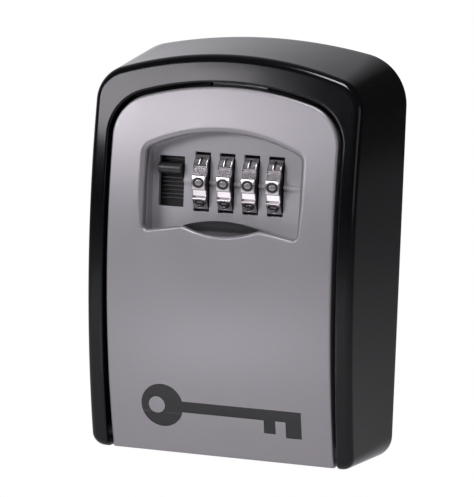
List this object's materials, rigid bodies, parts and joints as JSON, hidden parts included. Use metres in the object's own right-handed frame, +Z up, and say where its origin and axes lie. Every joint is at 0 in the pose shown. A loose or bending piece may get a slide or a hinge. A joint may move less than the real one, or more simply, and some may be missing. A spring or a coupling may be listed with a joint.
{
  "type": "key lock box",
  "caption": "Wall-mounted key lock box: arched case with a bottom-hinged door that carries dial wheels, an opening slider, a sliding dust shutter and a changeable combination lock.",
  "frame": {"origin": "centre of the back face, which is also the centre of the wall screw pattern", "axes": "+Z up, +X to the right as seen from the front, -Y out of the wall towards the user"},
  "size_m": [0.084, 0.0351, 0.117],
  "materials": {
    "body_black": "satin black powder coat on zinc alloy",
    "door_silver": "satin silver-grey metallic paint on zinc alloy",
    "case_silver": "satin silver-grey metallic paint on zinc alloy",
    "emblem_black": "black inlay, satin",
    "shutter_black": "black moulded nylon",
    "guide_plastic": "dark grey moulded nylon",
    "cover_plastic": "dark grey moulded nylon",
    "slider_black": "black moulded plastic, satin",
    "dial_nickel": "nickel-plated, digits cut in and filled black",
    "hub_brass": "turned brass",
    "pin_steel": "turned steel",
    "latch_steel": "stamped steel, zinc plated",
    "screw_steel": "zinc-plated steel",
    "spring_steel": "spring steel",
    "code_red": "red moulded plastic"
  },
  "bodies": {
    "housing": {"housing": "body_black", "hinge_pin_left": "pin_steel", "hinge_pin_right": "pin_steel"},
    "door": {"door_panel": "door_silver", "key_emblem": "emblem_black", "shutter_guide": "guide_plastic", "lock_case": "case_silver", "rear_cover": "cover_plastic", "cover_screws": "screw_steel", "case_screws": "screw_steel", "detent_spring": "spring_steel", "latch_spring": "spring_steel", "spindle_spring": "spring_steel"},
    "shutter": {"shutter": "shutter_black"},
    "latch": {"open_slider": "slider_black", "latch_plate": "latch_steel"},
    "dial_1": {"dial_1": "dial_nickel"},
    "dial_2": {"dial_2": "dial_nickel"},
    "dial_3": {"dial_3": "dial_nickel"},
    "dial_4": {"dial_4": "dial_nickel"},
    "code_hub_1": {"code_hub_1": "hub_brass"},
    "code_hub_2": {"code_hub_2": "hub_brass"},
    "code_hub_3": {"code_hub_3": "hub_brass"},
    "code_hub_4": {"code_hub_4": "hub_brass"},
    "spindle": {"spindle": "pin_steel", "spindle_clips": "spring_steel"},
    "code_change": {"code_change_slide": "code_red"}
  },
  "joints": [
    {"name": "door_hinge", "type": "hinge", "parent": "housing", "child": "door", "pos_m": [0, -0.02151, -0.054], "axis": [1, 0, 0], "range_deg": [0, 100]},
    {"name": "shutter_travel", "type": "hinge", "parent": "door", "child": "shutter", "pos_m": [0, 0.17128, 0.0056], "axis": [-1, 0, 0], "range_deg": [0, 7.3]},
    {"name": "latch_travel", "type": "slide", "parent": "door", "child": "latch", "axis": [0, 0, -1], "range_m": [0, 0.003], "stiffness_N_per_m": 200, "springref_m": -0.004, "deforming": ["latch_spring"]},
    {"name": "code_change_travel", "type": "slide", "parent": "door", "child": "code_change", "axis": [1, 0, 0], "range_m": [0, 0.0012], "stiffness_N_per_m": 250, "springref_m": -0.002, "deforming": ["spindle_spring"]},
    {"name": "spindle_shift", "type": "slide", "parent": "door", "child": "spindle", "axis": [1, 0, 0], "range_m": [0, 0.0012]},
    {"name": "dial_1_turn", "type": "hinge", "parent": "door", "child": "dial_1", "pos_m": [0, -0.0205, 0.019], "axis": [1, 0, 0], "continuous": true},
    {"name": "hub_1_shift", "type": "slide", "parent": "dial_1", "child": "code_hub_1", "axis": [1, 0, 0], "range_m": [0, 0.0012]},
    {"name": "dial_2_turn", "type": "hinge", "parent": "door", "child": "dial_2", "pos_m": [0, -0.0205, 0.019], "axis": [1, 0, 0], "continuous": true},
    {"name": "hub_2_shift", "type": "slide", "parent": "dial_2", "child": "code_hub_2", "axis": [1, 0, 0], "range_m": [0, 0.0012]},
    {"name": "dial_3_turn", "type": "hinge", "parent": "door", "child": "dial_3", "pos_m": [0, -0.0205, 0.019], "axis": [1, 0, 0], "continuous": true},
    {"name": "hub_3_shift", "type": "slide", "parent": "dial_3", "child": "code_hub_3", "axis": [1, 0, 0], "range_m": [0, 0.0012]},
    {"name": "dial_4_turn", "type": "hinge", "parent": "door", "child": "dial_4", "pos_m": [0, -0.0205, 0.019], "axis": [1, 0, 0], "continuous": true},
    {"name": "hub_4_shift", "type": "slide", "parent": "dial_4", "child": "code_hub_4", "axis": [1, 0, 0], "range_m": [0, 0.0012]}
  ],
  "couplings": [
    {"joint": "spindle_shift", "follows": "code_change_travel", "ratio": 1},
    {"joint": "hub_1_shift", "follows": "code_change_travel", "ratio": 1},
    {"joint": "hub_2_shift", "follows": "code_change_travel", "ratio": 1},
    {"joint": "hub_3_shift", "follows": "code_change_travel", "ratio": 1},
    {"joint": "hub_4_shift", "follows": "code_change_travel", "ratio": 1}
  ]
}
